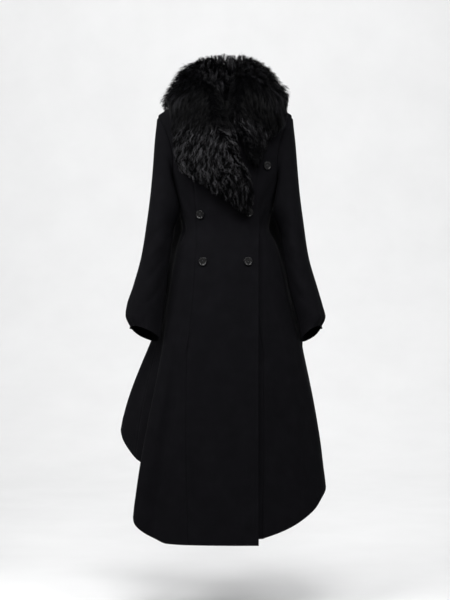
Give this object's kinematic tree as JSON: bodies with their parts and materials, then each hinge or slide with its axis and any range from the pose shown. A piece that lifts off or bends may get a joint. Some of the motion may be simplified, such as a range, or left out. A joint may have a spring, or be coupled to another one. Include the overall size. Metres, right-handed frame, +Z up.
{
  "type": "long wool coat with a sheepskin collar",
  "caption": "Long flared double-breasted wool coat with a big curly sheepskin shawl collar, worn on no one: neck, cuffs and hem are open.",
  "frame": {"origin": "base of the neck, between the shoulders that carry the coat, in the middle of the neck opening", "axes": "+Z up, -Y the coat's front, +X the wearer's left (on the right of someone who faces the front)"},
  "size_m": [0.612, 0.3916, 1.4449],
  "materials": {
    "wool": "matt",
    "fur": "silky hair",
    "button": "glossy"
  },
  "bodies": {
    "root": {"front_right_centre": "wool", "front_left_centre": "wool", "front_right_side": "wool", "back_right": "wool", "sleeve_right": "wool", "collar_right": "fur", "front_left_side": "wool", "back_left": "wool", "sleeve_left": "wool", "collar_left": "fur", "button_upper_right": "button", "button_upper_left": "button", "button_middle_right": "button", "button_middle_left": "button", "button_lower_right": "button", "button_lower_left": "button"}
  },
  "joints": []
}
